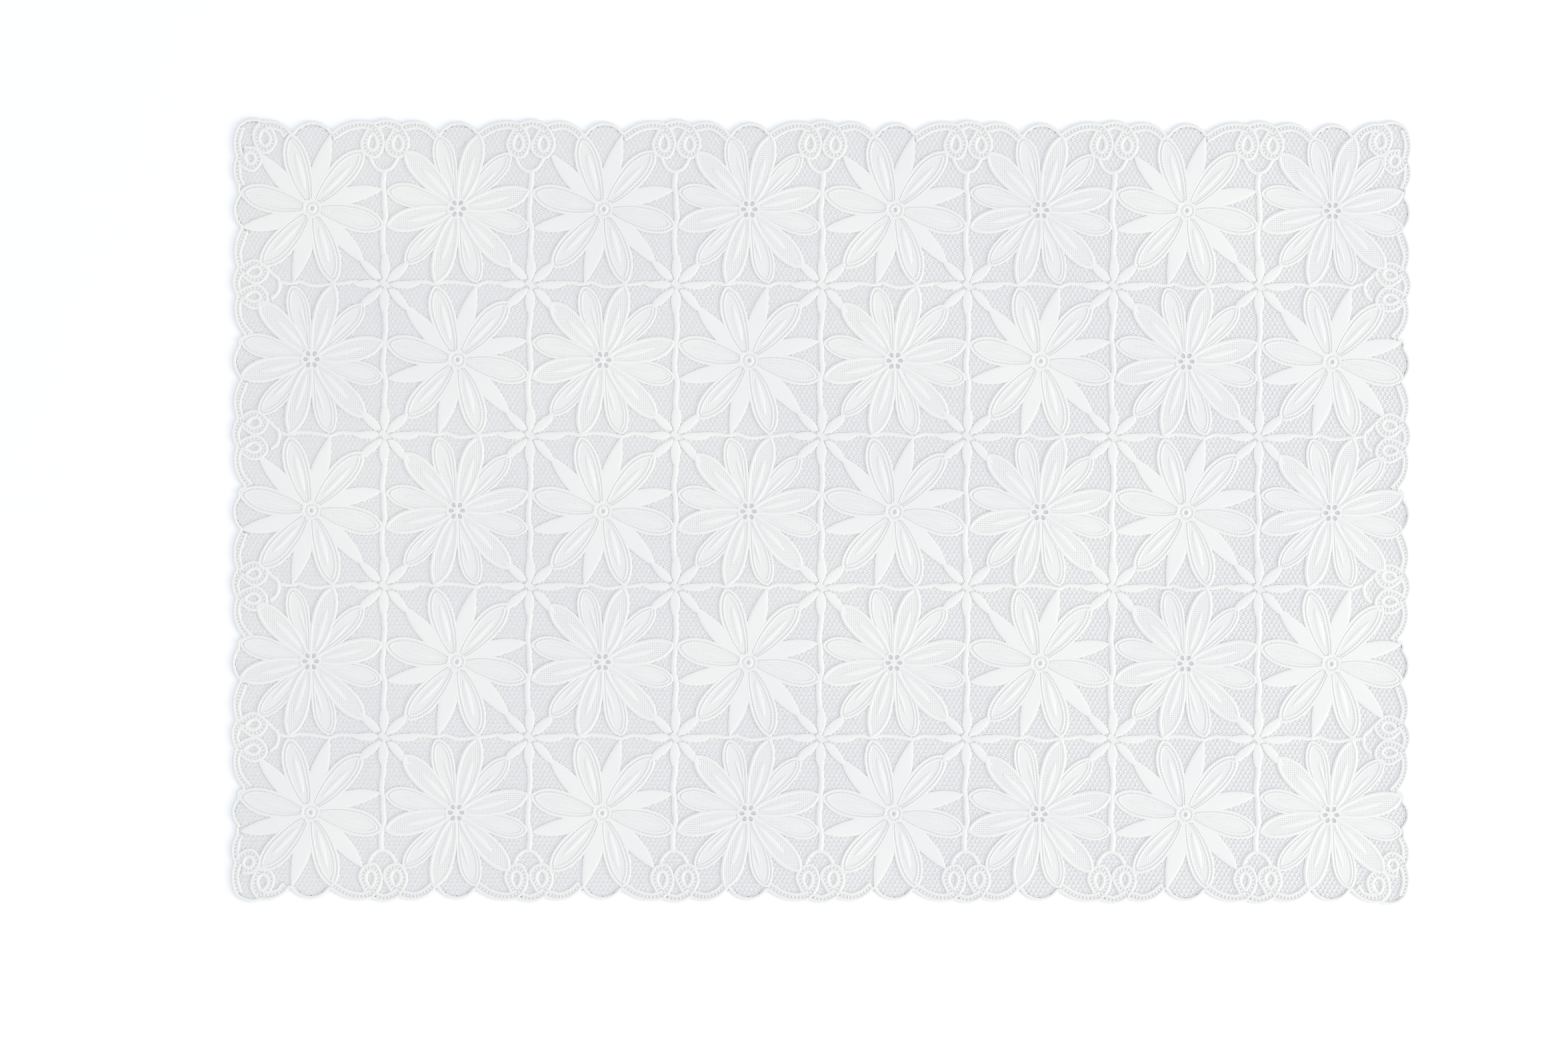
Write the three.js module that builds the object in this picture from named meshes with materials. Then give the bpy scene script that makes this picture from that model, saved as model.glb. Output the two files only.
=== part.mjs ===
// Lace table mat: one thin moulding of white vinyl, modelled as a film with the lace in relief on it.
// Millimetres, +Z up. The origin is at the middle of the underside, +X along the long side.

import * as THREE from "three";

// Driving dimensions
const COLUMNS = 8;
const ROWS = 5;
const PITCH_X = 55.5; // from one flower to the next along the mat
const PITCH_Y = 57.5; // from one flower to the next across the mat
const FILM_TOP = 0.5; // thickness of the film that the relief stands on
const RELIEF_TOP = 1.25; // overall thickness

const PETAL_REACH = 0.9; // the relief's petals end short of the stems and of the edging
const PETAL_NOTCH = 0.5; // where along a petal's side the notch to its neighbour lies
const PETAL_SHOULDER = 0.75; // where along a petal's side its shoulder lies
const STEM_WIDTH = 1.8;
const STEM_END_Y = 14; // how far a stem passes the outer flowers' centres
const STEM_END_X = 11.4;
const CORD_GAP = 0.6; // between the level cords of one spine and the next
const ARC_STEPS = 3;

const VINYL = { color: 0xf3f3f2, roughness: 0.5, metalness: 0 };

const columnX = (column) => (column - (COLUMNS - 1) / 2) * PITCH_X;
const rowY = (row) => ((ROWS - 1) / 2 - row) * PITCH_Y;
const seamX = (column) => columnX(column) + PITCH_X / 2;
const seamY = (row) => rowY(row) - PITCH_Y / 2;

// A petal is its tip and its half widths, left and right of the line from the flower's centre to the
// tip, at about a third and three quarters of that line. Half a flower is listed, and the other half
// is the same turned by half a turn.
const RING_FLOWER = [
  { tip: [-27.3, 6.2], left: [4.6, 5.0], right: [3.8, 4.7] },
  { tip: [-20.0, 21.2], left: [3.8, 3.1], right: [2.6, 1.8] },
  { tip: [-8.3, 27.8], left: [4.7, 5.1], right: [3.5, 4.1] },
  { tip: [7.2, 28.6], left: [4.2, 2.7], right: [3.0, 2.0] },
  { tip: [19.4, 21.8], left: [4.5, 5.1], right: [3.8, 4.3] },
  { tip: [26.8, 7.3], left: [4.3, 3.4], right: [2.0, 1.7] },
];
const FULL_FLOWER = [
  { tip: [-27.1, 6.8], left: [3.0, 4.0], right: [3.4, 4.8] },
  { tip: [-20.0, 21.6], left: [3.3, 4.2], right: [3.8, 4.4] },
  { tip: [-7.6, 27.6], left: [3.6, 4.2], right: [2.8, 4.5] },
  { tip: [8.6, 27.9], left: [3.6, 4.4], right: [3.9, 4.0] },
  { tip: [19.8, 20.9], left: [3.3, 4.1], right: [3.2, 4.2] },
  { tip: [27.2, 6.7], left: [3.7, 4.0], right: [4.0, 4.6] },
];

// A star's leaves, about the point where four cells meet: how far each reaches, and its half width.
// A star looks the same after half a turn, so only the leaves of its right half are given.
const STAR_UPRIGHT = { reach: 10.4, half: 1.8 };
const STAR_LEVEL = { reach: 11.3, half: 1.45 };
const STAR_LOWER = { angle: -39, reach: 8.4, half: 1.7 };
const STAR_UPPER = { angle: 42, reach: 8.4, half: 1.5 };
const STAR_SHOULDER = 0.72; // where along a leaf it is widest
const STAR_NOTCH = 1.6;

// Edge of the mat. Each list runs junction, crown, junction, crown, ..., with an arc over each crown.
// TOP_SEAM is centred on the seam between two flowers, the others on a flower.
const TOP_SEAM = [
  [-20.2, 29.4], [-12, 33.4], [-4.4, 33], [0.8, 34.2], [6, 32.4], [12.5, 33.5], [20.4, 28.8],
];
const TOP_FLOWER_CROWN = [0.1, 33.2];
const LEFT_SEAM = [
  [-27.3, 21.3], [-29.9, 11.5], [-28.7, 6.2], [-30.5, 0.6], [-28.9, -4.6], [-29.6, -12], [-25.8, -19.7],
  [-28.2, -21.6], [-28, -23.5],
];
const LEFT_FLOWER_CROWN = [-30.1, -1.1];
const CORNER = [
  [-7.6, 28.9], [-13.6, 33.2], [-18.8, 33.6], [-24.2, 34.2], [-28.7, 31.4], [-30.3, 25.5], [-29.3, 19.2],
  [-30.4, 14.4], [-28.5, 8.6], [-28.6, 7], [-28, 5.2],
];

// Inner edge of the edging, with a lobe for each pair of scrolls and the cup under it.
const TOP_INNER = [
  [-18, 27.4], [-10.8, 27.4], [-9.3, 24], [-7, 21.4], [-4.6, 20.4], [-3.8, 16.8], [0, 14.8], [3.8, 16.8],
  [4.8, 20.4], [7, 21.4], [9.3, 24], [10.8, 27.4], [18, 27.4],
];
const LEFT_INNER = [
  [-25.2, 20.6], [-25.4, 11], [-23.4, 8.6], [-20.2, 8.2], [-18.2, 6.6], [-17, 4], [-14.8, 3], [-12.2, 0],
  [-14.8, -3.4], [-17, -4.4], [-18.2, -6.8], [-20.2, -8.2], [-23.4, -8.8], [-25.2, -11], [-24.9, -20.4],
];
const CORNER_INNER = [
  [-11, 27.4], [-13.2, 24], [-16.4, 22.2], [-19.6, 22.4], [-20.6, 19.4], [-19.8, 16], [-23, 14.6], [-26, 14],
  [-26, 9.4],
];

/** Points of the arc from a over crown to b, without b. */
function arcOver(a, crown, b) {
  const [ax, ay] = a;
  const [bx, by] = b;
  const [cx, cy] = crown;
  const d = 2 * (ax * (cy - by) + cx * (by - ay) + bx * (ay - cy));
  const aa = ax * ax + ay * ay;
  const bb = bx * bx + by * by;
  const cc = cx * cx + cy * cy;
  const ox = (aa * (cy - by) + cc * (by - ay) + bb * (ay - cy)) / d;
  const oy = (aa * (bx - cx) + cc * (ax - bx) + bb * (cx - ax)) / d;
  const radius = Math.hypot(ax - ox, ay - oy);
  const start = Math.atan2(ay - oy, ax - ox);
  const turn = (angle) => Math.atan2(Math.sin(angle), Math.cos(angle));
  const toCrown = turn(Math.atan2(cy - oy, cx - ox) - start);
  const toEnd = toCrown + turn(Math.atan2(by - oy, bx - ox) - start - toCrown);
  return Array.from({ length: ARC_STEPS }, (_, i) => {
    const angle = start + (toEnd * i) / ARC_STEPS;
    return [ox + radius * Math.cos(angle), oy + radius * Math.sin(angle)];
  });
}

/** Arcs over a list of junctions and crowns, without the last junction. */
function scallops(points) {
  const out = [];
  for (let i = 0; i + 2 < points.length; i += 2) {
    out.push(...arcOver(points[i], points[i + 1], points[i + 2]));
  }
  return out;
}

const moved = (points, x, y) => points.map(([px, py]) => [px + x, py + y]);
const turned = (points) => points.map(([x, y]) => [-x, -y]);
const mirroredX = (points) => points.map(([x, y]) => [-x, y]).reverse();
const mirroredY = (points) => points.map(([x, y]) => [x, -y]).reverse();

/** Junctions and crowns of the whole edge, anticlockwise from the top right corner's top notch. */
function edgePoints() {
  const lastX = columnX(COLUMNS - 1);
  const topY = rowY(0);
  const topLeftCorner = moved(CORNER, columnX(0), topY);
  const top = [];
  const bottom = [];
  for (let column = COLUMNS - 1; column >= 0; column -= 1) {
    top.push([columnX(column) + TOP_FLOWER_CROWN[0], topY + TOP_FLOWER_CROWN[1]]);
    if (column > 0) top.push(...moved(TOP_SEAM, seamX(column - 1), topY).reverse());
  }
  for (let column = 0; column < COLUMNS; column += 1) {
    bottom.push([columnX(column) + TOP_FLOWER_CROWN[0], -topY - TOP_FLOWER_CROWN[1]]);
    if (column < COLUMNS - 1) bottom.push(...mirroredY(moved(TOP_SEAM, seamX(column), topY)).reverse());
  }
  const left = [];
  for (let row = 0; row < ROWS; row += 1) {
    left.push([columnX(0) + LEFT_FLOWER_CROWN[0], rowY(row) + LEFT_FLOWER_CROWN[1]]);
    if (row < ROWS - 1) left.push(...moved(LEFT_SEAM, columnX(0), seamY(row)));
  }
  const bottomLeftCorner = mirroredY(topLeftCorner);
  const right = left.map(([x, y]) => [-x, y]).reverse();
  const bottomRightCorner = mirroredX(bottomLeftCorner);
  const topRightCorner = mirroredX(topLeftCorner);
  return [
    ...top, ...topLeftCorner, ...left, ...bottomLeftCorner,
    ...bottom, ...bottomRightCorner, ...right, ...topRightCorner,
  ];
}

/** Outline of the mat, an arc over every crown. */
function edgeOutline() {
  const points = edgePoints();
  points.unshift(points[points.length - 1]);
  return scallops(points);
}

/** Inner edge of the edging, anticlockwise. */
function innerOutline() {
  const topY = rowY(0);
  const top = [];
  for (let column = COLUMNS - 2; column >= 0; column -= 1) {
    top.push(...moved(TOP_INNER, seamX(column), topY).reverse());
  }
  const left = [];
  for (let row = 0; row < ROWS - 1; row += 1) left.push(...moved(LEFT_INNER, columnX(0), seamY(row)));
  const corner = moved(CORNER_INNER, columnX(0), topY);
  return [
    ...top, ...corner, ...left, ...mirroredY(corner),
    ...mirroredY(top), ...mirroredX(mirroredY(corner)), ...mirroredX(left), ...mirroredX(corner),
  ];
}

/** A point on one side of a petal. t runs from 0 at the flower's centre to 1 at the tip. */
function petalSide(petal, side, t) {
  const length = Math.hypot(...petal.tip) * PETAL_REACH;
  const [ux, uy] = petal.tip.map((v) => v / Math.hypot(...petal.tip));
  const [near, far] = side > 0 ? petal.left : petal.right;
  const s = 1 - t;
  const along = length * (3 * s * s * t * 0.3 + 3 * s * t * t * 0.9 + t * t * t);
  const across = side * (3 * s * s * t * (3 * near - 1.5 * far) + 3 * s * t * t * (3 * far - 1.5 * near));
  return [ux * along - uy * across, uy * along + ux * across];
}

/** Outline of a flower: for each petal its notch, shoulder, tip and shoulder. */
function flowerOutline(half) {
  const otherHalf = half.map((petal) => ({ ...petal, tip: petal.tip.map((v) => -v) }));
  const petals = [...half, ...otherHalf];
  const out = [];
  petals.forEach((petal, i) => {
    const next = petals[(i + 1) % petals.length];
    const a = petalSide(petal, -1, PETAL_NOTCH);
    const b = petalSide(next, 1, PETAL_NOTCH);
    out.push(petalSide(petal, 1, PETAL_SHOULDER));
    out.push(petalSide(petal, 1, 1));
    out.push(petalSide(petal, -1, PETAL_SHOULDER));
    out.push([(a[0] + b[0]) / 2, (a[1] + b[1]) / 2]);
  });
  return out.reverse();
}

/** A leaf of a star, from one shoulder over its tip to the other. */
function starLeaf({ angle, reach, half }) {
  const turn = THREE.MathUtils.degToRad(angle);
  const [cos, sin] = [Math.cos(turn), Math.sin(turn)];
  const leaf = [[reach * STAR_SHOULDER, -half], [reach, 0], [reach * STAR_SHOULDER, half]];
  return leaf.map(([x, y]) => [x * cos - y * sin, x * sin + y * cos]);
}

/** Right half of a star, from its lower stem round to its upper one, with its cord out to cordEnd. */
function starHalf(cordEnd) {
  const notch = (angle) => {
    const turn = THREE.MathUtils.degToRad(angle);
    return [STAR_NOTCH * Math.cos(turn), STAR_NOTCH * Math.sin(turn)];
  };
  const edge = STEM_WIDTH / 2;
  const { reach, half } = STAR_UPRIGHT;
  const shoulder = reach * STAR_SHOULDER;
  const level = STAR_LEVEL.reach;
  const cord = [[level * STAR_SHOULDER, STAR_LEVEL.half], [level, edge], [cordEnd, edge]];
  return [
    [edge, -reach], [half, -shoulder], notch(-64), ...starLeaf(STAR_LOWER), notch(-20),
    ...cord.map(([x, y]) => [x, -y]), ...cord.reverse(),
    notch(21), ...starLeaf(STAR_UPPER), notch(66), [half, shoulder], [edge, reach],
  ];
}

/** One upright stem with its stars, and the level cords that its stars reach out. */
function spineOutline(column) {
  const inner = PITCH_X / 2 - CORD_GAP / 2;
  const outer = PITCH_X / 2 + STEM_END_X;
  const rightEnd = column === COLUMNS - 2 ? outer : inner;
  const leftEnd = column === 0 ? outer : inner;
  const top = rowY(0) + STEM_END_Y;
  const rows = Array.from({ length: ROWS - 1 }, (_, row) => row);
  const right = [...rows].reverse().flatMap((row) => moved(starHalf(rightEnd), 0, seamY(row)));
  const left = rows.flatMap((row) => moved(turned(starHalf(leftEnd)), 0, seamY(row)));
  const half = STEM_WIDTH / 2;
  return [[half, -top], ...right, [half, top], [-half, top], ...left, [-half, -top]];
}

/** A flat slab of an outline, with an optional hole, from z0 to z1. */
function slab(outline, z0, z1, hole) {
  const shape = new THREE.Shape(outline.map(([x, y]) => new THREE.Vector2(x, y)));
  if (hole) shape.holes.push(new THREE.Path(hole.map(([x, y]) => new THREE.Vector2(x, y))));
  const geometry = new THREE.ExtrudeGeometry(shape, { depth: z1 - z0, bevelEnabled: false });
  geometry.translate(0, 0, z0);
  return geometry;
}

function named(name, geometry) {
  const mesh = new THREE.Mesh(geometry, new THREE.MeshStandardMaterial(VINYL));
  mesh.name = name;
  return mesh;
}

const group = new THREE.Group();
group.add(named("net_ground", slab(edgeOutline(), 0, FILM_TOP)));
group.add(named("scalloped_edging", slab(edgeOutline(), FILM_TOP, RELIEF_TOP, innerOutline().reverse())));

for (let column = 0; column < COLUMNS - 1; column += 1) {
  const spine = named(`star_spine_${column + 1}`, slab(spineOutline(column), FILM_TOP, RELIEF_TOP));
  spine.position.x = seamX(column);
  group.add(spine);
}

for (let row = 0; row < ROWS; row += 1) {
  for (let column = 0; column < COLUMNS; column += 1) {
    const ring = (row + column) % 2 === 0;
    const outline = flowerOutline(ring ? RING_FLOWER : FULL_FLOWER);
    const kind = ring ? "ring_flower" : "full_flower";
    const flower = named(`${kind}_r${row + 1}_c${column + 1}`, slab(outline, FILM_TOP, RELIEF_TOP));
    flower.position.set(columnX(column), rowY(row), 0);
    group.add(flower);
  }
}

export default group;
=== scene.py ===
"""Looks of the moulded vinyl lace table mat: a net of hexagonal holes, with flowers, stars, cords and
a scrolled edging in relief on it. Sizes are in millimetres, and meshes are scaled to metres as they
are made."""

import math

import bpy
import numpy as np
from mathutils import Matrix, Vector
from mathutils.geometry import tessellate_polygon


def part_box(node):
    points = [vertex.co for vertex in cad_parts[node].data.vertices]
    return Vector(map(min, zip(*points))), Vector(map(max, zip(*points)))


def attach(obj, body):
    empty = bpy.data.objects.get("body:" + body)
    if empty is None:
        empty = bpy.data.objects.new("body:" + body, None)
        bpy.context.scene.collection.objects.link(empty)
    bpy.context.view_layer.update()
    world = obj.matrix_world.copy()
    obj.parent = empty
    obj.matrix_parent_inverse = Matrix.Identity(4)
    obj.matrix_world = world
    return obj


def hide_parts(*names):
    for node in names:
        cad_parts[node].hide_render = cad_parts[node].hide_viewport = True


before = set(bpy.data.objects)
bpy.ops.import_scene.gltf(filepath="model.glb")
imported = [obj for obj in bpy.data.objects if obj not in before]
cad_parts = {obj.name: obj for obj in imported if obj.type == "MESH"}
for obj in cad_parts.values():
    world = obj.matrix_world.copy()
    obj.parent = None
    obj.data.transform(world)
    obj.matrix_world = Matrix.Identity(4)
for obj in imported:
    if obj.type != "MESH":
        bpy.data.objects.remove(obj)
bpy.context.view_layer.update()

MM = 0.001
COLUMNS, ROWS = 8, 5


def middle(node):
    low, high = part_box(node)
    return (low + high) / 2 / MM


PITCH_X = (middle("ring_flower_r1_c3").x - middle("ring_flower_r1_c1").x) / 2
PITCH_Y = (middle("ring_flower_r1_c1").y - middle("ring_flower_r3_c1").y) / 2

# Heights above the table. Every shape starts on it, or at most 0.1 above it.
NET_FLOOR, NET_RIM, NET_CREST = 0.02, 0.51, 0.54
CHANNEL = 0.58  # floor of the dotted channels
BAR = 0.78  # bars between the dots
CORD = 0.95
CENTRE = 0.92
LEAF_EDGE, LEAF_CROWN = 0.70, 0.94
FILL_LOW, FILL_HIGH = 0.40, 0.68  # in the pin dimples, and between them
STAR_FLOOR = 0.34  # in the openings of a star's web
RAISED = 0.12  # how far the petals that lie over others are above them

RIB = 0.56  # pitch of the ribs across a cord
RIB_DEPTH = 0.08
RIB_PINCH = 0.1  # how much narrower a ribbed cord is in its grooves, as a share of its width
SMOOTH_STEP = 1.1  # length of a piece of a smooth cord
RIB_END_STEP = 0.12  # how closely the ends of a leaf's ribs are looked for
DOT_PITCH = 1.07
EDGE_DOT_PITCH = 1.43
DIMPLE = 0.733  # pitch of the pin dimples in a petal
PIT = 0.72  # how far a dimple reaches from its middle, as a share of half the pitch


def column_x(column):
    return (column - (COLUMNS - 1) / 2) * PITCH_X


def row_y(row):
    return ((ROWS - 1) / 2 - row) * PITCH_Y


def seam_x(column):
    return column_x(column) + PITCH_X / 2


def seam_y(row):
    return row_y(row) - PITCH_Y / 2


# ---------------- curves

def spline(points, closed=False, fine=10):
    """A smooth curve through the points."""
    p = np.array(points, float)
    if closed:
        p = np.vstack([p[-1], p, p[0], p[1]])
    else:
        p = np.vstack([2 * p[0] - p[1], p, 2 * p[-1] - p[-2]])
    t = np.linspace(0, 1, fine, endpoint=False)[:, None]
    out = []
    for a, b, c, d in zip(p, p[1:], p[2:], p[3:]):
        square = 2 * a - 5 * b + 4 * c - d
        cube = 3 * b - a - 3 * c + d
        out.append(0.5 * (2 * b + (c - a) * t + square * t**2 + cube * t**3))
    if not closed:
        out.append(p[-2:-1])
    return np.vstack(out)


def even(path, step, closed=False, pairs=False):
    """The same path with its points at an even spacing close to step."""
    p = np.vstack([path, path[:1]]) if closed else np.array(path, float)
    along = np.concatenate([[0], np.cumsum(np.linalg.norm(np.diff(p, axis=0), axis=1))])
    count = max(2, round(along[-1] / step))
    if pairs:
        count += count % 2
    at = np.linspace(0, along[-1], count + 1)
    out = np.column_stack([np.interp(at, along, p[:, axis]) for axis in range(2)])
    return out[:-1] if closed else out


def tangents(path, closed=False):
    if closed:
        t = np.roll(path, -1, axis=0) - np.roll(path, 1, axis=0)
    else:
        t = np.gradient(path, axis=0)
    return t / np.maximum(np.linalg.norm(t, axis=1), 1e-9)[:, None]


def left_of(t):
    return np.column_stack([-t[:, 1], t[:, 0]])


def offset(path, distance, closed=False):
    """The path moved to its left."""
    return path + left_of(tangents(path, closed)) * distance


def cross(a, b):
    return a[..., 0] * b[..., 1] - a[..., 1] * b[..., 0]


def depth(points, outline):
    """How far inside a closed outline each point is, negative outside, and the outline's nearest points."""
    points = np.atleast_2d(points)
    depths, nearest = [], []
    a = np.asarray(outline)
    b = np.roll(a, -1, axis=0)
    d = b - a
    size = np.maximum((d * d).sum(1), 1e-12)
    for part in np.array_split(points, max(1, len(points) * len(a) // 2_000_000)):
        q = part[:, None] - a
        t = np.clip((q * d).sum(2) / size, 0, 1)
        gap = q - t[..., None] * d
        far = np.sqrt((gap**2).sum(2))
        best = far.argmin(1)
        pick = np.arange(len(part))
        x, y = part[:, :1], part[:, 1:]
        rise = np.where(np.abs(d[:, 1]) < 1e-12, 1e-12, d[:, 1])
        crosses = ((a[:, 1] > y) != (b[:, 1] > y)) & (x < a[:, 0] + (y - a[:, 1]) * d[:, 0] / rise)
        inside = crosses.sum(1) % 2 == 1
        depths.append(np.where(inside, far[pick, best], -far[pick, best]))
        nearest.append(part - gap[pick, best])
    return np.concatenate(depths), np.vstack(nearest)


def longest_run(mask):
    """Start and end of the longest run of true values, the end past the last one."""
    edges = np.flatnonzero(np.diff(np.concatenate([[0], mask.astype(int), [0]])))
    if not len(edges):
        return 0, 0
    runs = edges.reshape(-1, 2)
    start, end = runs[np.argmax(runs[:, 1] - runs[:, 0])]
    return int(start), int(end)


# ---------------- solids

class Solid:
    """Closed shapes gathered into one mesh."""

    def __init__(self):
        self.points, self.faces, self.smooth, self.count = [], [], [], 0

    def add(self, points, *face_sets, smooth=True):
        """Adds points with their faces. Each face set is an array with one face in each row."""
        for faces in face_sets:
            self.faces.append(np.atleast_2d(np.asarray(faces, int)) + self.count)
            self.smooth.append(smooth)
        self.points.append(np.asarray(points, float))
        self.count += len(points)

    def paste(self, other, x=0.0, y=0.0, mirror_x=False, mirror_y=False):
        """Adds a copy of another solid, mirrored and then moved."""
        flip = np.array([-1 if mirror_x else 1, -1 if mirror_y else 1, 1])
        points = np.vstack(other.points) * flip + [x, y, 0]
        turned = mirror_x != mirror_y
        self.faces += [(faces[:, ::-1] if turned else faces) + self.count for faces in other.faces]
        self.smooth += other.smooth
        self.points.append(points)
        self.count += len(points)

    def make(self, name):
        points = np.vstack(self.points) * MM
        corners = np.concatenate([faces.ravel() for faces in self.faces])
        sizes = np.concatenate([np.full(len(faces), faces.shape[1]) for faces in self.faces])
        smooth = np.concatenate([np.full(len(faces), flag) for faces, flag in zip(self.faces, self.smooth)])
        mesh = bpy.data.meshes.new(name)
        mesh.vertices.add(len(points))
        mesh.vertices.foreach_set("co", points.astype(np.float32).ravel())
        mesh.loops.add(len(corners))
        mesh.loops.foreach_set("vertex_index", corners.astype(np.int32))
        mesh.polygons.add(len(sizes))
        mesh.polygons.foreach_set("loop_start", (np.cumsum(sizes) - sizes).astype(np.int32))
        mesh.update(calc_edges=True)
        mesh.set_sharp_from_angle(angle=math.radians(52))
        mesh.polygons.foreach_set("use_smooth", smooth)
        mesh.materials.append(VINYL)
        return mesh


def sized(size, share):
    """A size that is one number, or a function of the share of the length, at each share."""
    return size(share) if callable(size) else np.full(len(share), float(size))


# Sections of a cord: where its top has points, in half widths from its middle
ROUND = (-1, -0.6, 0, 0.6, 1)
FLAT = (-1, 1)


def cord(solid, path, half, top=CORD, rib=0.0, lean=0.5, closed=False, profile=ROUND, floor=0.05,
         drop=0.42, edge=None, step=None):
    """A cord with a rounded back along a path. Its edges are lower than its top by drop half widths, or at
    the height edge. rib is how deep the twist's grooves are, and lean how far they slant along the cord
    from its middle to its edge, in half widths."""
    ribbed = rib > 0
    p = even(path, step or (RIB / 2 if ribbed else SMOOTH_STEP), closed, pairs=ribbed)
    t = tangents(p, closed)
    n = left_of(t)
    rings = len(p)
    share = np.arange(rings) / max(rings - (0 if closed else 1), 1)
    h = sized(half, share)
    z = sized(top, share)
    groove = rib * (np.arange(rings) % 2)
    if ribbed:
        h = h * (1 - RIB_PINCH * (np.arange(rings) % 2))
    across = np.array([-1, *profile, 1], float)
    x_y = p[:, None] + n[:, None] * (across[:, None] * h[:, None, None])
    if ribbed and lean:
        x_y = x_y + t[:, None] * (lean * across[:, None] * h[:, None, None])
    fall = drop * h if edge is None else z - edge
    height = z[:, None] - fall[:, None] * across**2 - groove[:, None]
    height[:, 0] = height[:, -1] = floor
    height = np.maximum(height, floor)
    points = np.dstack([x_y, height]).reshape(-1, 3)
    width = len(across)
    ids = np.arange(rings * width).reshape(rings, width)
    here, ahead = (ids, np.roll(ids, -1, axis=0)) if closed else (ids[:-1], ids[1:])
    quads = np.stack([here, ahead, np.roll(ahead, -1, axis=1), np.roll(here, -1, axis=1)], axis=2)
    faces = [quads.reshape(-1, 4)]
    if not closed:
        faces += [ids[:1], ids[-1:, ::-1]]
    solid.add(points, *faces, smooth=not ribbed)


def bars(solid, path, half, pitch=DOT_PITCH, length=0.5, top=BAR, closed=False, floor=0.1):
    """Short bars across a channel, which leave dots between them."""
    p = even(path, pitch, closed)
    t = tangents(p, closed) * length / 2
    n = left_of(tangents(p, closed)) * half
    corners = np.stack([p - t - n, p + t - n, p + t + n, p - t + n], axis=1)
    count = len(p)
    low = np.dstack([corners, np.full((count, 4), floor)])
    high = np.dstack([corners, np.full((count, 4), top)])
    points = np.concatenate([low, high], axis=1).reshape(-1, 3)
    box = np.array([[0, 3, 2, 1], [4, 5, 6, 7], [0, 1, 5, 4], [1, 2, 6, 5], [2, 3, 7, 6], [3, 0, 4, 7]])
    solid.add(points, (np.arange(count)[:, None, None] * 8 + box).reshape(-1, 4))


def plate(solid, outline, top, floor=0.0):
    """A flat plate with an anticlockwise outline."""
    n = len(outline)
    ids = np.arange(n)
    points = np.vstack([np.column_stack([outline, np.full(n, z)]) for z in (floor, top)])
    walls = np.column_stack([ids, np.roll(ids, -1), np.roll(ids, -1) + n, ids + n])
    solid.add(points, walls, ids[::-1][None], (ids + n)[None])


def pierced(solid, outline, holes, top, floor=0.0):
    """A flat plate with holes through it. All the outlines run anticlockwise."""
    rings = [np.asarray(outline)] + [np.asarray(hole)[::-1] for hole in holes]
    flat = np.vstack(rings)
    n = len(flat)
    faces = np.array(tessellate_polygon([[Vector((x, y, 0)) for x, y in ring] for ring in rings]))
    corners = flat[faces]
    down = cross(corners[:, 1] - corners[:, 0], corners[:, 2] - corners[:, 0]) < 0
    faces[down] = faces[down][:, ::-1]
    sets = [faces + n, faces[:, ::-1]]
    first = 0
    for ring in rings:
        ids = first + np.arange(len(ring))
        following = np.roll(ids, -1)
        sets.append(np.column_stack([ids, following, following + n, ids + n]))
        first += len(ring)
    points = np.vstack([np.column_stack([flat, np.full(n, z)]) for z in (floor, top)])
    solid.add(points, *sets)


def slot(start, end, width, count=5):
    """Anticlockwise outline of a slot with round ends."""
    start, end = np.array(start, float), np.array(end, float)
    turn = math.atan2(*(end - start)[::-1])
    a = np.linspace(-math.pi / 2, math.pi / 2, count)
    cap = lambda shift: np.column_stack([np.cos(a + turn + shift), np.sin(a + turn + shift)]) * width / 2
    return np.vstack([end + cap(0), start + cap(math.pi)])


def skirted(solid, points, faces, loops, floor, smooth=True):
    """A surface closed by a wall down from each boundary loop, and a bottom. Each loop has the surface on
    its left."""
    sets = list(faces)
    extra = []
    total = len(points)
    for loop in loops:
        below = total + np.arange(len(loop))
        extra.append(np.column_stack([points[loop, :2], np.full(len(loop), floor)]))
        sets.append(np.column_stack([np.roll(loop, -1), loop, below, np.roll(below, -1)]))
        sets.append(below[::-1][None])
        total += len(loop)
    solid.add(np.vstack([points, *extra]), *sets, smooth=smooth)


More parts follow.
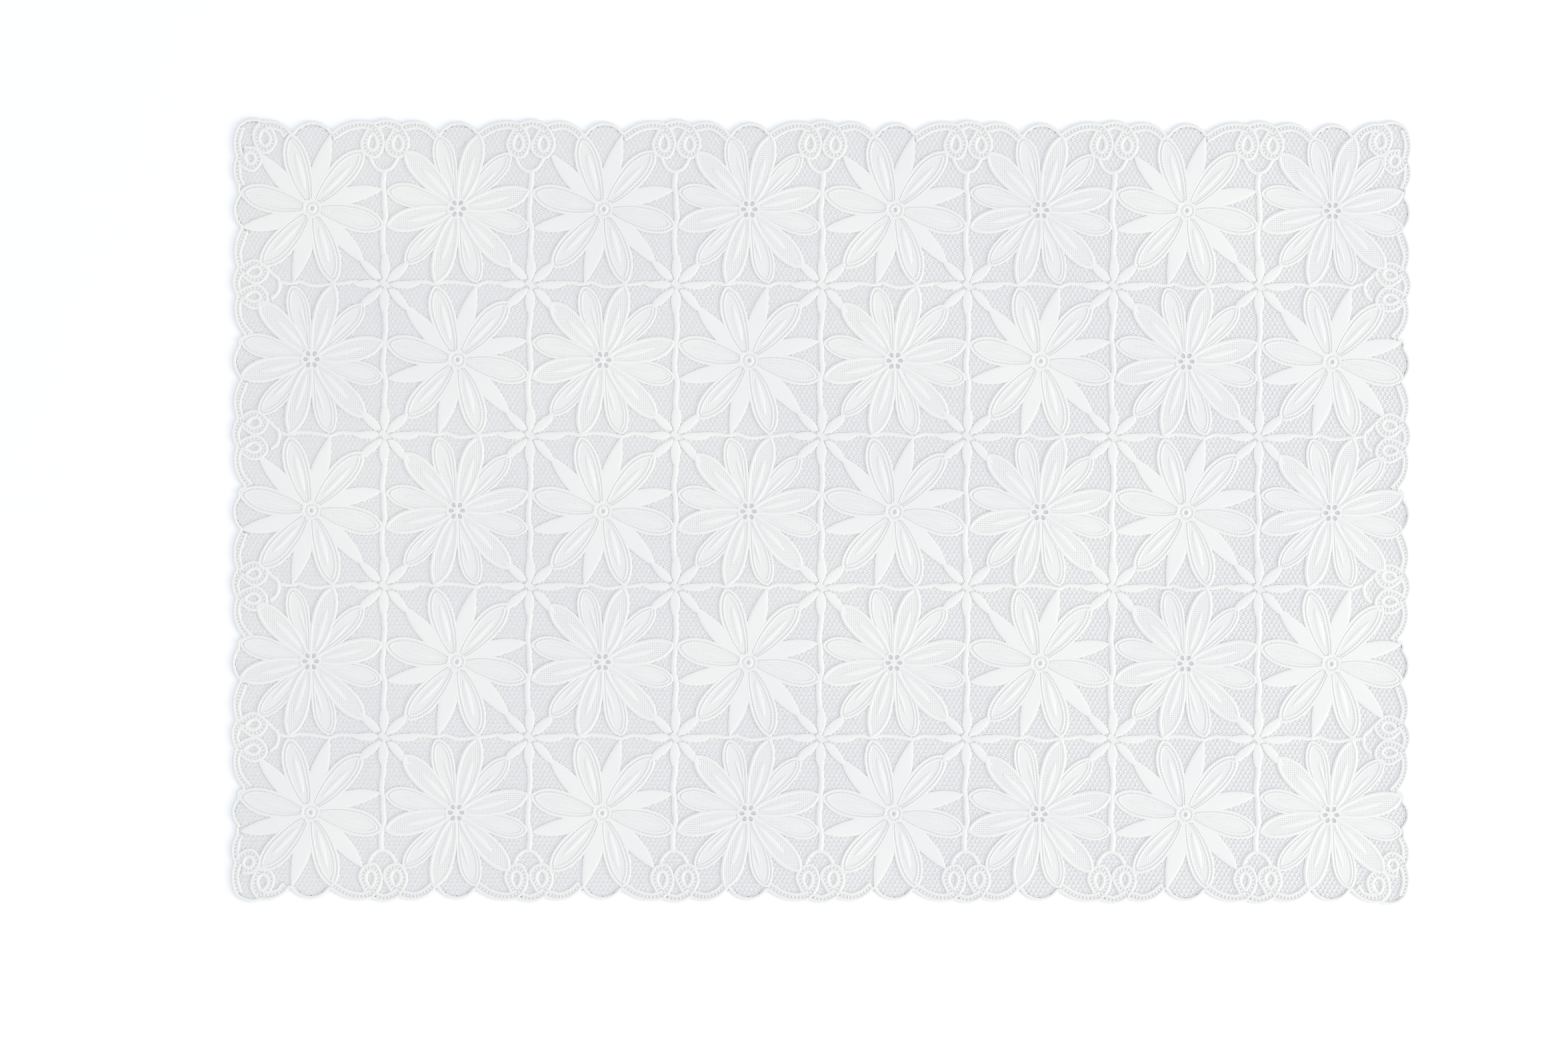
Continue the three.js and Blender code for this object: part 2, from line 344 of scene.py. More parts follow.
def dimpled(solid, inside, box, high, low, floor=0.03):
    """A closed pad over the part of box where inside(points) is true, with a square grid of pin dimples."""
    cell = DIMPLE / 2
    x0, x1, y0, y1 = box
    i = np.arange(math.floor(x0 / cell), math.ceil(x1 / cell) + 1)
    j = np.arange(math.floor(y0 / cell), math.ceil(y1 / cell) + 1)
    gx, gy = np.meshgrid(i, j, indexing="ij")
    centres = np.column_stack([(gx.ravel() + 0.5) * cell, (gy.ravel() + 0.5) * cell])
    kept = inside(centres).reshape(gx.shape)
    kept[[0, -1]] = False
    kept[:, [0, -1]] = False
    while True:
        a, b, c, d = kept[:-1, :-1], kept[1:, 1:], kept[1:, :-1], kept[:-1, 1:]
        touching = np.argwhere((a & b & ~c & ~d) | (c & d & ~a & ~b))
        if not len(touching):
            break
        u, v = touching[0]
        kept[u:u + 2, v:v + 2] = True
    if not kept.any():
        return
    u, v = np.nonzero(kept)
    wide = gx.shape[1] + 1
    corner = u * wide + v
    quads = np.column_stack([corner, corner + wide, corner + wide + 1, corner + 1])
    used, ids = np.unique(quads, return_inverse=True)
    quads = ids.reshape(quads.shape)
    pu, pv = used // wide + i[0], used % wide + j[0]
    sunk = (pu % 2 == 0) & (pv % 2 == 0)
    at = sunk[quads].argmax(1)
    turned = quads[np.arange(len(quads))[:, None], (at[:, None] + np.arange(4)) % 4]
    pit, before, after = turned[:, 0], turned[:, 1], turned[:, 3]
    count = len(used)
    spokes = np.concatenate([pit * count + before, pit * count + after])
    rim_keys, rims = np.unique(spokes, return_inverse=True)
    rims = rims.reshape(2, -1) + count
    flat = np.column_stack([pu, pv]) * cell
    rim_points = flat[rim_keys // count] * (1 - PIT) + flat[rim_keys % count] * PIT
    points = np.column_stack([np.vstack([flat, rim_points]), np.full(count + len(rim_keys), float(high))])
    points[:count][sunk, 2] = low
    slopes = np.column_stack([pit, rims[0], rims[1]])
    flats = np.column_stack([rims[0], before, turned[:, 2], after, rims[1]])
    faces = slopes.tolist() + flats.tolist()
    edges = {(a, b) for face in faces for a, b in zip(face, face[1:] + face[:1])}
    following = {a: b for a, b in edges if (b, a) not in edges}
    loops = []
    while following:
        start = min(following)
        loop = [start]
        while (ahead := following.pop(loop[-1])) != start:
            loop.append(ahead)
        loops.append(np.array(loop))
    skirted(solid, points, [slopes, flats], loops, floor, smooth=False)


STATIONS = np.array([0, 0.05, 0.16, 0.35, 0.5, 0.65, 0.84, 0.95, 1])  # points along a rib, as shares


def satin(solid, outline, angle, crown, edge, rib=0.1, pitch=0.6, over=(), tuck=0.5, soft=1.5, floor=0.015,
          gap=None):
    """A leaf with ribs across it at an angle, rounded off over the width soft along its edge. It ends under
    the outlines in over, tuck inside them. With a gap, which is the tips of the petals beside it, it fills
    the room between these petals as far out as ROOT_REACH."""
    turn = math.radians(angle)
    along, across = np.array([math.cos(turn), math.sin(turn)]), np.array([-math.sin(turn), math.cos(turn)])
    reach = outline @ across
    span = outline @ along
    if gap is not None:
        before, after = (np.array(tip) / math.hypot(*tip) for tip in gap)
        reach = np.append(reach, [-ROOT_REACH, ROOT_REACH])
        span = np.append(span, [-ROOT_REACH, ROOT_REACH])
    low, high = reach.min(), reach.max()
    lines = np.arange(low + 0.02, high, pitch / 2)
    span = np.arange(span.min() - 1, span.max() + 1, RIB_END_STEP)
    rows = []
    for k, line in enumerate(lines):
        p = along * span[:, None] + across * line
        own = depth(p, outline)[0]
        room = own
        if gap is not None:
            far = np.linalg.norm(p, axis=1)
            room = np.maximum(room, ROOT_REACH - far)
            room = np.minimum.reduce([room, cross(p, before), cross(after, p), far - ROOT_START])
        for other in over:
            room = np.minimum(room, tuck - depth(p, other)[0])
        start, end = longest_run(room > 0)
        if end - start < 4:
            continue
        ends = []
        for inner, outer in ((start, start - 1), (end - 1, end)):
            share = room[inner] / (room[inner] - room[outer])
            ends.append(span[inner] + (span[outer] - span[inner]) * share)
        at = ends[0] + (ends[1] - ends[0]) * STATIONS
        own = np.maximum(np.interp(at, span, own), 0)
        if gap is not None:
            own = np.maximum(own, soft * (np.hypot(at, line) < ROOT_REACH))
        rise = np.sqrt(1 - (1 - np.minimum(own / soft, 1)) ** 2)
        z = edge + (crown - edge) * rise - (rib if k % 2 else 0) * np.minimum(rise * 1.5, 1)
        rows.append(np.column_stack([along * at[:, None] + across * line, z]))
    if len(rows) < 3:
        return
    n = len(STATIONS)
    ids = np.arange(len(rows) * n).reshape(-1, n)
    quads = np.stack([ids[:-1, :-1], ids[:-1, 1:], ids[1:, 1:], ids[1:, :-1]], axis=2).reshape(-1, 4)
    loop = np.concatenate([ids[0, :-1], ids[:-1, -1], ids[-1, :0:-1], ids[:0:-1, 0]])
    skirted(solid, np.vstack(rows), [quads], [loop], floor, smooth=not rib)


# ---------------- flowers

# A petal is its kind, its tip, its half widths left and right of the line from the flower's centre to the
# tip, at about a third and three quarters of that line, and its vein: two ends, width, with ribs or not.
# A leaf has the angle, pitch and depth of its ribs instead of a vein. Half a flower is listed, and the
# other half is the same turned by half a turn.
LACE, LEAF, SINGLE, DOUBLE = "lace", "leaf", "single", "double"
RING_FLOWER = [
    (LACE, (-27.7, 6.5), (4.6, 5.0), (3.8, 4.7), ((-21.2, 4.9), (-7.2, 0.8), 1.6, True)),
    (LEAF, (-20.0, 21.2), (3.8, 3.1), (2.6, 1.8), (0, 0.55, 0.03)),
    (LACE, (-8.6, 28.7), (4.7, 5.1), (3.5, 4.1), ((-6.4, 21.1), (-2.6, 6.8), 2.3, False)),
    (LEAF, (7.2, 28.6), (4.2, 2.7), (3.0, 2.0), (-50, 0.6, 0.06)),
    (LACE, (19.9, 22.4), (4.5, 5.1), (3.8, 4.3), ((4.4, 5.7), (14.8, 16.3), 2.1, True)),
    (LEAF, (26.8, 7.3), (4.3, 3.4), (2.0, 1.7), (70, 0.6, 0.06)),
]
FULL_FLOWER = [
    (DOUBLE, (-27.5, 7.0), (3.0, 4.0), (3.4, 4.8), ((-19.9, 5.9), (-8.3, 3.0), 1.6, True)),
    (SINGLE, (-20.5, 22.2), (3.3, 4.2), (3.8, 4.4), ((-14.0, 15.4), (-3.6, 4.7), 2.1, False)),
    (DOUBLE, (-7.7, 28.5), (3.6, 4.2), (2.8, 4.5), ((-4.7, 20.3), (-1.3, 8.9), 1.3, True)),
    (SINGLE, (8.6, 28.8), (3.6, 4.4), (3.9, 4.0), ((6.3, 20.1), (1.6, 5.1), 2.4, True)),
    (DOUBLE, (20.3, 21.4), (3.3, 4.1), (3.2, 4.2), ((14.8, 14.6), (6.5, 5.9), 1.4, True)),
    (SINGLE, (27.6, 6.9), (3.7, 4.0), (4.0, 4.6), ((19.8, 4.7), (4.4, 1.3), 2.4, True)),
]
PETAL_START, FULL_START = 0.115, 0.112  # where petals leave the centre, as a share of their length
VEIN_RISE = 0.25
VEIN_FULLNESS = 0.58  # a vein's half width as a share of its listed width
ROOT_START, ROOT_REACH = 2.9, 13.0  # a ring flower has no gaps between its petals from one to the other
LACE_BLUNTNESS, LEAF_BLUNTNESS = 0.84, 0.9  # how far along a petal's side its pull towards the tip lies
PETAL_TUCK = 0.5  # how far a petal's cords and fill go under the petals that lie over it
PLATE_INSET = 0.3  # from a petal's outline to the edge of the plate under it
PETAL_BAR_HALF = 0.45
SINGLE_CORD_INSET, SINGLE_CORD_HALF, SINGLE_FILL_INSET = 0.74, 0.82, 1.15
DOUBLE_CHANNEL = 0.61  # floor of the dotted channels in a full flower


def whole(half):
    """All the petals of a flower."""
    petals = []
    for sign in (1, -1):
        turned = lambda point: (sign * point[0], sign * point[1])
        for kind, tip, left, right, middle in half:
            petal = {"kind": kind, "tip": turned(tip), "left": left, "right": right}
            if kind == LEAF:
                petal["ribs"] = middle
            else:
                start, end, width, ribbed = middle
                petal["vein"] = (turned(start), turned(end), width, ribbed)
            petals.append(petal)
    return petals


def narrowing(t, least=0.5):
    """How much of their full size a petal's cords have, from its base to where it is wide."""
    return np.clip(least + (1 - least) * (t - 0.1) / 0.35, least, 1)


def petal_side(petal, side, inset=0.0, start=PETAL_START, count=34):
    """One side of a petal from its base to its tip, moved in by inset."""
    t = np.linspace(start, 1, count)
    s = 1 - t
    root = np.array(petal.get("root", (0, 0)))
    axis = np.array(petal["tip"]) - root
    length = math.hypot(*axis)
    near, far = petal["left"] if side > 0 else petal["right"]
    bluntness = LACE_BLUNTNESS if "vein" in petal else LEAF_BLUNTNESS
    along = length * (3 * s * s * t * 0.3 + 3 * s * t * t * bluntness + t**3)
    across = side * (3 * s * s * t * (3 * near - 1.5 * far) + 3 * s * t * t * (3 * far - 1.5 * near))
    p = np.column_stack([along, across])
    if inset:
        p = p - left_of(tangents(p)) * (side * inset * narrowing(t))[:, None]
        p = p[p[:, 1] * side > 0.02]
    u = axis / length
    return root + np.column_stack([u[0] * p[:, 0] - u[1] * p[:, 1], u[1] * p[:, 0] + u[0] * p[:, 1]])


def petal_path(petal, inset=0.0, start=PETAL_START):
    """Round a petal from the right of its base over its tip to the left, moved in by inset."""
    right = petal_side(petal, -1, inset, start)
    left = petal_side(petal, 1, inset, start)[::-1]
    return np.vstack([right, left[1:] if not inset else left])


def base_to_tip(size, least=0.5):
    """A cord's size round a petal, smaller at both ends, at the petal's base."""
    return lambda share: size * narrowing(1.1 * np.minimum(share, 1 - share) * 2 + 0.1, least)


def spindle(size):
    return lambda share: size * np.maximum(np.sin(math.pi * share), 0) ** 0.6 + 0.04


def clear_path(path, over, tuck):
    """The longest stretch of a path that isn't deeper than tuck inside the outlines in over."""
    p = even(path, 0.3)
    free = np.ones(len(p), bool)
    for other in over:
        free &= depth(p, other)[0] < tuck
    start, end = longest_run(free)
    return p[start:end]


def box_of(outline):
    (x0, y0), (x1, y1) = outline.min(0), outline.max(0)
    return x0, x1, y0, y1


def fill_petal(solid, petal, inset, high, low, over=()):
    """The dimpled inside of a petal."""
    outline = petal_path(petal, inset)

    def inside(points):
        kept = depth(points, outline)[0] > 0
        for other in over:
            kept &= depth(points, other)[0] < PETAL_TUCK
        return kept

    dimpled(solid, inside, box_of(outline), high, low)


def vein(solid, petal, fill):
    """The raised middle of a petal, above the height of its fill."""
    start, end, width, ribbed = petal["vein"]
    path = np.array([start, end])
    rise = lambda share: fill + 0.06 + VEIN_RISE * np.maximum(np.sin(math.pi * share), 0) ** 0.5
    rib = RIB_DEPTH if ribbed else 0
    cord(solid, path, spindle(width * VEIN_FULLNESS), rise, rib=rib, lean=0.6, edge=fill - 0.03)


def lace_petal(solid, petal, over=(), outer=0.52, channel=1.3, inner=1.9, inner_half=0.4,
               start=PETAL_START, least=0.5, floor=CHANNEL):
    """A petal edged by two cords with a row of dots between them, and dimpled inside. outer, channel and
    inner are how far inside its outline the outer cord, the dots and the inner cord run."""
    plate(solid, petal_path(petal, PLATE_INSET, start), floor)
    outer_path, dots, inner_path = [
        clear_path(petal_path(petal, inset, start), over, PETAL_TUCK) for inset in (outer, channel, inner)
    ]
    cord(solid, outer_path, base_to_tip(outer, least), CORD)
    bars(solid, dots, PETAL_BAR_HALF)
    cord(solid, inner_path, base_to_tip(inner_half), CORD - 0.02)
    fill_petal(solid, petal, inner, FILL_HIGH, FILL_LOW, over)
    vein(solid, petal, FILL_HIGH)


def single_petal(solid, petal):
    """A petal edged by one thick twisted cord, lying over its neighbours."""
    plate(solid, petal_path(petal, PLATE_INSET, FULL_START), FILL_LOW)
    middle_line = petal_path(petal, SINGLE_CORD_INSET, FULL_START)
    cord(solid, middle_line, base_to_tip(SINGLE_CORD_HALF, 0.95), CORD + RAISED, rib=RIB_DEPTH, lean=0.5)
    fill_petal(solid, petal, SINGLE_FILL_INSET, FILL_HIGH + RAISED, FILL_LOW + RAISED)
    vein(solid, petal, FILL_HIGH + RAISED)


def ring_flower():
    solid = Solid()
    petals = whole(RING_FLOWER)
    outlines = [petal_path(petal) for petal in petals]
    for k, petal in enumerate(petals):
        if petal["kind"] == LACE:
            lace_petal(solid, petal)
        else:
            angle, pitch, rib = petal["ribs"]
            over = [outlines[k - 1], outlines[(k + 1) % len(petals)]]
            gap = petals[k - 1]["tip"], petals[(k + 1) % len(petals)]["tip"]
            satin(solid, outlines[k], angle, LEAF_CROWN, LEAF_EDGE, rib, pitch, over, tuck=0.4, gap=gap)
    ring_centre(solid)
    return solid, outlines


def circle(radius, count, x=0.0, y=0.0, squash=1.0):
    a = np.arange(count) * 2 * math.pi / count
    return np.column_stack([x + radius * squash * np.cos(a), y + radius * np.sin(a)])


def polar(radius, degrees):
    return radius * math.cos(math.radians(degrees)), radius * math.sin(math.radians(degrees))


def ring_centre(solid):
    """A hole in a smooth ring, a row of small dots round it, and an outer ring."""
    hole = circle(0.72, 20, squash=0.85)
    dots = [circle(0.3, 8, *polar(2.28, 30 * k + 15)) for k in range(12)]
    pierced(solid, circle(3.25, 40), [hole], CHANNEL)
    pierced(solid, circle(3.3, 40), [circle(0.84, 20, squash=0.87), *dots], BAR - 0.04, 0.02)
    cord(solid, circle(1.38, 28, squash=0.93), 0.58, CENTRE + 0.06, closed=True, step=0.36)
    cord(solid, circle(3.05, 44), 0.48, CENTRE + 0.03, closed=True, step=0.45)


def full_flower():
    solid = Solid()
    petals = whole(FULL_FLOWER)
    outlines = [petal_path(petal) for petal in petals]
    for k, petal in enumerate(petals):
        if petal["kind"] == SINGLE:
            single_petal(solid, petal)
        else:
            over = [outlines[k - 1], outlines[(k + 1) % len(petals)]]
            lace_petal(solid, petal, over, outer=0.48, channel=1.15, inner=1.65, inner_half=0.34,
                       start=FULL_START, least=0.9, floor=DOUBLE_CHANNEL)
    full_centre(solid)
    return solid, outlines


def full_centre(solid):
    """A boss with six egg-shaped holes round it."""
    holes = [egg(angle, 2.15 if angle % 180 == 0 else 2.4) for angle in range(0, 360, 60)]
    pierced(solid, circle(4.1, 44), holes, CENTRE + 0.03)
    cord(solid, circle(0.42, 12), 0.45, CENTRE + 0.1, closed=True, step=0.24, drop=0.2)


def egg(angle, radius):
    """A hole that is wider on its outer side."""
    a = np.arange(14) * 2 * math.pi / 14
    along, across = np.cos(a) * 0.98, np.sin(a) * (0.76 + 0.14 * np.cos(a))
    u = np.array(polar(1, angle))
    return np.array(polar(radius, angle)) + np.outer(along, u) + np.outer(across, (-u[1], u[0]))


# ---------------- stars and stems

# A star's leaves about the point where four cells meet: root, tip, half widths left and right as a
# petal's, and the angle, pitch and depth of the ribs
STAR_LEAVES = [
    ((-0.05, 0.8), (0.1, 12.3), (1.6, 1.3), (1.85, 1.55), (-38, 0.58, 0.05)),
    ((-0.05, -0.8), (-0.15, -11.8), (1.85, 1.5), (1.85, 1.5), (-38, 0.58, 0.05)),
    ((1.3, 0.0), (13.5, 0.3), (1.05, 1.0), (1.75, 1.7), (52, 0.6, 0.06)),
    ((-1.3, 0.35), (-12.6, 0.45), (1.8, 1.5), (1.3, 0.7), (52, 0.6, 0.06)),
    ((0.7, 0.8), (9.0, 8.6), (1.6, 1.2), (2.05, 1.7), (97, 0.6, 0.06)),
    ((-0.7, -0.8), (-9.0, -9.2), (1.6, 1.05), (1.5, 1.9), (97, 0.6, 0.06)),
    ((-0.8, 1.1), (-9.9, 10.0), (1.9, 1.35), (1.65, 1.25), (0, 1.6, 0)),
    ((0.8, -1.1), (10.2, -10.6), (1.95, 1.0), (1.6, 1.45), (0, 1.6, 0)),
]
# Openings in the web between the leaves: both ends and the width of each
STAR_SLOTS = [
    ((-1.25, 3.2), (-0.75, 1.9), 0.5), ((1.55, 3.05), (1.05, 2.0), 0.45),
    ((2.45, 0.75), (2.95, 1.0), 0.75), ((-2.95, 1.2), (-2.25, 0.95), 0.35),
    ((-2.8, -1.35), (-2.0, -1.05), 1.0), ((2.7, -1.2), (3.2, -1.4), 0.4),
    ((1.05, -2.1), (1.45, -3.3), 0.45), ((-0.85, -2.6), (-1.3, -3.15), 0.35),
    ((-1.9, 4.75), (-1.7, 4.3), 0.8), ((2.2, 4.65), (2.0, 4.2), 0.65),
    ((-4.55, 1.95), (-4.4, 1.85), 0.75), ((4.65, 1.7), (4.55, 1.5), 0.8),
    ((4.65, -1.95), (4.55, -1.85), 0.85), ((-4.5, -2.2), (-4.45, -2.0), 0.8),
    ((2.1, -4.9), (1.9, -4.6), 0.75), ((-1.95, -4.85), (-1.85, -4.5), 0.65),
]
STAR_WEB = 5.9  # radius of the web
STAR_TWIST = [(-1.5, 1.2), (-0.45, 0.45), (0.5, -0.5), (1.3, -1.6)]  # middle line of the star's boss
STAR_STRANDS = (-0.84, -0.28, 0.28, 0.84)  # cords of the boss, from its middle line


def star():
    """Eight leaves round a small twisted boss, on a web with openings."""
    solid = Solid()
    outlines = []
    for root, tip, left, right, (angle, pitch, rib) in STAR_LEAVES:
        outline = petal_path({"root": root, "tip": tip, "left": left, "right": right}, start=0.02)
        satin(solid, outline, angle, LEAF_CROWN + 0.03, LEAF_EDGE, rib, pitch, soft=1.2)
        outlines.append(outline)
    slots = [slot(*opening) for opening in STAR_SLOTS]
    pierced(solid, circle(STAR_WEB, 40), slots, NET_CREST, NET_FLOOR)
    plate(solid, circle(STAR_WEB - 0.1, 40), STAR_FLOOR)
    for shift in STAR_STRANDS:
        cord(solid, offset(spline(STAR_TWIST), shift), 0.33, LEAF_CROWN + 0.08, step=0.5)
    return solid, outlines


# Middle line of a stem beside a flower row, from the seam and the row's middle, where the ring flower is
# on its left, and where it is on its right
STEM_RING_LEFT = [
    (0.1, 18.5), (-0.05, 15), (-0.5, 12), (-0.8, 9.5), (-0.6, 7.6), (-0.1, 5.8), (-0.15, 3), (-0.1, 0.5),
    (0.25, -2), (0.3, -3.6), (-0.2, -5.4), (-0.75, -8), (-0.9, -11), (-0.65, -15), (-0.2, -18.5),
]
STEM_RING_RIGHT = [
    (0.1, 18.5), (0.2, 15), (0.45, 12.5), (0.2, 9.8), (0.0, 8), (0.0, 5.5), (-0.15, 3), (-0.55, 0.2),
    (-0.55, -3), (-0.35, -5), (0.2, -6.6), (0.45, -8.5), (0.35, -10.5), (0.1, -12.5), (-0.15, -15),
    (0.0, -18.5),
]
STEM_HALF = 1.05
# Middle line of a level cord across a flower's column, from the column's middle and the seam, where the
# ring flower is above it, and where it is below
LEVEL_RING_ABOVE = [
    (-18, 0.8), (-15, 0.8), (-11.5, 0.65), (-8.8, 0.1), (-6.8, 0.3), (-4.8, 0.9), (-2.5, 0.1), (0, -0.6),
    (3, -0.65), (5.5, -0.35), (8, 0.0), (10, 0.05), (12.5, 0.4), (15, 0.8), (18, 0.75),
]
LEVEL_RING_BELOW = [
    (-18, 0.7), (-14.5, 0.9), (-11.5, 0.75), (-9.5, 0.1), (-7.6, 0.3), (-5, 0.95), (-2.5, 0.95), (0, 0.8),
    (3, 0.35), (5.5, -0.15), (7.5, -0.3), (9.2, 0.4), (11.2, 0.9), (14, 0.75), (18, 0.5),
]
LEVEL_HALF = 0.82
LEVEL_STEP = 0.385  # half the pitch of its ribs
cord_lines = []  # middle line and half width of each cord that lies over the net


def is_ring(row, column):
    return (row + column) % 2 == 0


def stem(solid, row, column):
    """The stem beside one flower row, on the seam to the right of a column."""
    line = spline(STEM_RING_LEFT if is_ring(row, column) else STEM_RING_RIGHT)
    x, y = seam_x(column), row_y(row)
    if row == 0:
        line = line[line[:, 1] < CUP_Y]
    if row == ROWS - 1:
        line = line[line[:, 1] > -CUP_Y]
    cord(solid, line + [x, y], STEM_HALF, CORD, drop=0.28)
    cord_lines.append((line + [x, y], STEM_HALF))


def level(solid, row, column):
    """The level cord under one flower."""
    line = spline(LEVEL_RING_ABOVE if is_ring(row, column) else LEVEL_RING_BELOW)
    x, y = column_x(column), seam_y(row)
    if column == 0:
        line = line[line[:, 0] > CUP_X]
    if column == COLUMNS - 1:
        line = line[line[:, 0] < -CUP_X]
    cord(solid, line + [x, y], LEVEL_HALF, CORD - 0.05, rib=RIB_DEPTH, lean=0, step=LEVEL_STEP)
    cord_lines.append((line + [x, y], LEVEL_HALF))


# ---------------- edging

# Edge of the mat: junction, crown, junction, crown, ..., with an arc over each crown.
TOP_SEAM = [(-20.2, 29.4), (-12, 33.4), (-4.4, 33), (0.8, 34.2), (6, 32.4), (12.5, 33.5), (20.4, 28.8)]
TOP_FLOWER_CROWN = (0.1, 33.2)
LEFT_SEAM = [
    (-27.3, 21.3), (-29.9, 11.5), (-28.7, 6.2), (-30.5, 0.6), (-28.9, -4.6), (-29.6, -12), (-25.8, -19.7),
    (-28.2, -21.6), (-28, -23.5),
]
LEFT_FLOWER_CROWN = (-30.1, -1.1)
CORNER = [
    (-7.6, 28.9), (-13.6, 33.2), (-18.8, 33.6), (-24.2, 34.2), (-28.7, 31.4), (-30.3, 25.5), (-29.3, 19.2),
    (-30.4, 14.4), (-28.5, 8.6), (-28.6, 7), (-28, 5.2),
]
ARC_STEPS = 9

# Rows of dots, closed cords inside the curls that they end in, and the cup below: at the top from the seam
# and the flower row, at the left from the flower column and the seam, and in the corner from its flower
TOP_ROWS = [
    [(-19.5, 27.8), (-14.4, 30.8), (-9, 32), (-4.8, 30.9), (-2.9, 28.9), (-1.7, 25), (-3.2, 21.2),
     (-4.6, 20.8), (-6.8, 21.8), (-7.9, 24.8), (-6.1, 28.9)],
    [(-1.9, 32.2), (0.7, 32.7), (4.7, 30.9), (6.5, 28.7), (7.8, 24.9), (6.2, 21.2), (4.8, 20.8),
     (2.4, 21.7), (1.4, 24.3), (3.7, 28.7)],
    [(8.2, 31.2), (12.1, 31.9), (16.1, 30.3), (19, 27.8)],
]
TOP_CUP = [(-5.6, 19.6), (-4.7, 17.2), (-3, 15.2), (-0.6, 14.3), (2, 15.2), (3.6, 17), (4.9, 19.4)]
CUP_Y = 14.3  # where a stem meets the cup
LEFT_ROWS = [
    [(-26, 19.5), (-28.4, 12), (-27.6, 7.4)],
    [(-28.3, -3), (-29, 0.3), (-27.4, 4.4), (-24.1, 7.1), (-21.4, 7.8), (-18.1, 5.5), (-17.9, 4.2),
     (-19.7, 1.8), (-22.4, 1.5), (-25.4, 3.7)],
    [(-24, -19.2), (-27.3, -14.9), (-28.6, -9), (-26.8, -4), (-23, -1.9), (-20.2, -1.9), (-17.9, -5.3),
     (-19.7, -7.7), (-22.6, -8.1), (-25.8, -6.3)],
]
LEFT_CUP = [(-17, 6), (-14.8, 3.6), (-12.8, 1.8), (-12.3, -0.8), (-13.2, -3.6), (-15.5, -5.5)]
CUP_X = -12.3  # where a level cord meets the cup
CORNER_ROWS = [
    [(-27.6, 30.3), (-28.8, 26), (-28.4, 21.7), (-26.6, 17.5), (-24.1, 15.7), (-22.5, 15.6), (-20.7, 17.6),
     (-20.6, 19.2), (-22.2, 21.7), (-25.1, 22.1)],
    [(-10.1, 28.4), (-12.3, 30.8), (-18, 31.8), (-20.5, 30.3), (-21.3, 27.3), (-19.8, 23.2), (-17.6, 22.4),
     (-15.2, 24.8), (-15.5, 27.7), (-16.8, 30)],
    [(-28.8, 15.9), (-28.4, 11.6), (-27.3, 9)],
]
TOP_LOOPS = [
    [(-4.5, 28.5), (-3.1, 26.1), (-3.2, 23.5), (-4.8, 22.1), (-6.4, 23.2), (-6.7, 25.4), (-5.8, 27.5)],
    [(5.1, 27.9), (6.6, 25.7), (6.5, 23.3), (4.9, 21.9), (3.2, 23.0), (2.8, 25.1), (3.7, 27.1)],
]
LEFT_LOOPS = [
    [(-24.7, 4.1), (-22.9, 2.7), (-20.6, 2.9), (-19.3, 4.7), (-20.6, 6.5), (-22.9, 6.2)],
    [(-25.2, -5.1), (-23.0, -6.6), (-20.7, -6.6), (-19.4, -4.9), (-20.9, -3.1), (-23.1, -3.2)],
]
CORNER_LOOPS = [
    [(-25.6, 19.8), (-24.7, 17.3), (-22.6, 17.1), (-21.6, 18.8), (-22.3, 20.6), (-24.1, 21.2)],
    [(-18.5, 29.9), (-20.0, 27.6), (-19.8, 25.0), (-17.9, 23.7), (-16.2, 25.2), (-16.2, 27.7)],
]
EDGE_HALF = 0.68
EDGE_STEP = 0.35
BAND = 1.08  # from the middle of a row of dots to the middles of the cords beside it
BAND_HALF = 0.7
BAND_END = 0.9  # how far the cords run on past the last dots
BAND_FLOOR_HALF = 1.1
BAND_BAR_HALF, BAND_BAR_LENGTH = 0.55, 0.7
SCROLL_RISE = 0.04  # how far the scrolls' cords rise above CORD
LOOP_HALF = 0.88
CUP_HALF = 0.8


def arc_over(a, crown, b):
    """Points of the arc from a over crown to b, without b."""
    (ax, ay), (bx, by), (cx, cy) = a, b, crown
    d = 2 * (ax * (cy - by) + cx * (by - ay) + bx * (ay - cy))
    aa, bb, cc = ax * ax + ay * ay, bx * bx + by * by, cx * cx + cy * cy
    ox = (aa * (cy - by) + cc * (by - ay) + bb * (ay - cy)) / d
    oy = (aa * (bx - cx) + cc * (ax - bx) + bb * (cx - ax)) / d
    radius = math.hypot(ax - ox, ay - oy)
    start = math.atan2(ay - oy, ax - ox)
    turn = lambda angle: math.atan2(math.sin(angle), math.cos(angle))
    to_crown = turn(math.atan2(cy - oy, cx - ox) - start)
    to_end = to_crown + turn(math.atan2(by - oy, bx - ox) - start - to_crown)
    angles = start + to_end * np.arange(ARC_STEPS) / ARC_STEPS
    return np.column_stack([ox + radius * np.cos(angles), oy + radius * np.sin(angles)])


def shifted(points, x, y):
    return [(px + x, py + y) for px, py in points]


